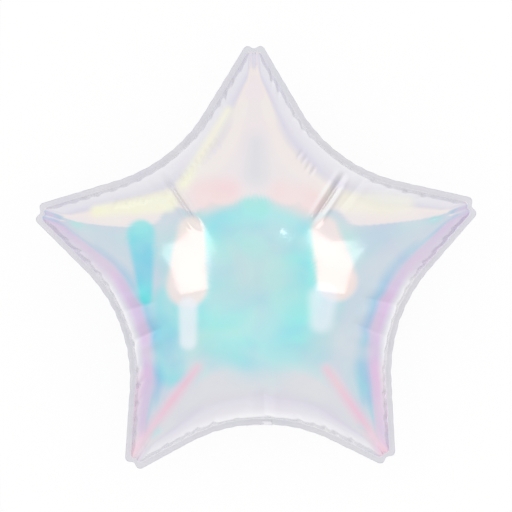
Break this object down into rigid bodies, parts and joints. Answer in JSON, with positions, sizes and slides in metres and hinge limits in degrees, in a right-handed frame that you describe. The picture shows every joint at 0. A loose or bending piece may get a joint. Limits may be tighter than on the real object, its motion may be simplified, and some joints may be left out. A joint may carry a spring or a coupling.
{
  "type": "star foil balloon",
  "caption": "Inflated five-pointed star balloon of sealed film, with a gathered flat rim, creased inner corners and its filling neck folded against the back.",
  "frame": {"origin": "middle of the small flat spot under the back face, below the middle of the star", "axes": "+Z out of the front face, +Y along the top arm, +X across the width"},
  "size_m": [0.444, 0.4265, 0.1665],
  "materials": {
    "pearl_film": "mirror-smooth iridescent pearl film, pale blue face on, turning pink, lilac and cream where it slopes away"
  },
  "bodies": {
    "root": {"star_balloon": "pearl_film"}
  },
  "joints": []
}
